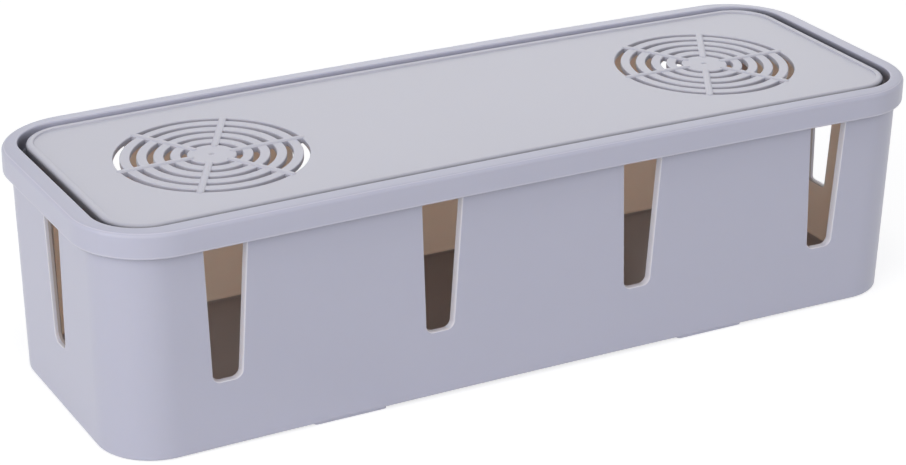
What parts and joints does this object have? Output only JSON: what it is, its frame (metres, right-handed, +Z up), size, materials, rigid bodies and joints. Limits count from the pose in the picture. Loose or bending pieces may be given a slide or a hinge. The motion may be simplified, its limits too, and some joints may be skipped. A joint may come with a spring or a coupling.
{
  "type": "cable management box",
  "caption": "Long open tray with tapered cable slots in its walls, a banded rim and moulded feet, under a drop-in lid with round ring vents.",
  "frame": {"origin": "on the table, under the middle of the box", "axes": "+X along the length, +Y from the front wall to the back wall, +Z up"},
  "size_m": [0.32, 0.113, 0.0835],
  "materials": {
    "tray_plastic": "satin moulded lilac-grey plastic",
    "lid_plastic": "fine matt moulded lilac-grey plastic"
  },
  "bodies": {
    "box": {"box": "tray_plastic"},
    "lid": {"lid": "lid_plastic"}
  },
  "joints": [
    {"name": "lid_lift", "type": "slide", "parent": "box", "child": "lid", "axis": [0, 0, 1], "range_m": [0, 0.09]}
  ]
}
